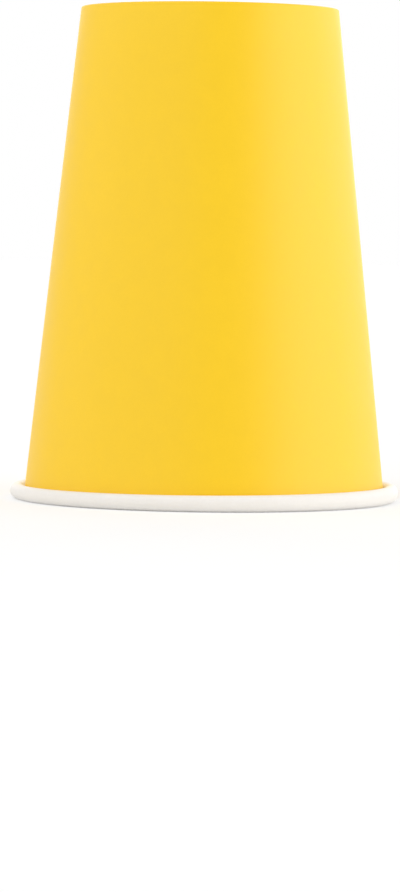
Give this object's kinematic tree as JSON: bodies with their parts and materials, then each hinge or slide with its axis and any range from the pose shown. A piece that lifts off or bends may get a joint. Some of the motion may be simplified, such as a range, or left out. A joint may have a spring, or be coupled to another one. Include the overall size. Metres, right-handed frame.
{
  "type": "paper cup",
  "caption": "Tapered disposable paper cup, stored upside down: a printed board sidewall with a lapped seam, a rolled rim and a folded base hem around a recessed base disc.",
  "frame": {"origin": "centre of the rim plane, on the surface that the upturned cup stands on", "axes": "+Z along the cup's axis, from the rim to the base; the side seam lies towards +Y, at the back"},
  "size_m": [0.078, 0.078, 0.0984],
  "materials": {
    "printed_board": "satin yellow print on white coated board",
    "white_board": "satin coated white board"
  },
  "bodies": {
    "root": {"sidewall": "printed_board", "base_disc": "white_board"}
  },
  "joints": []
}
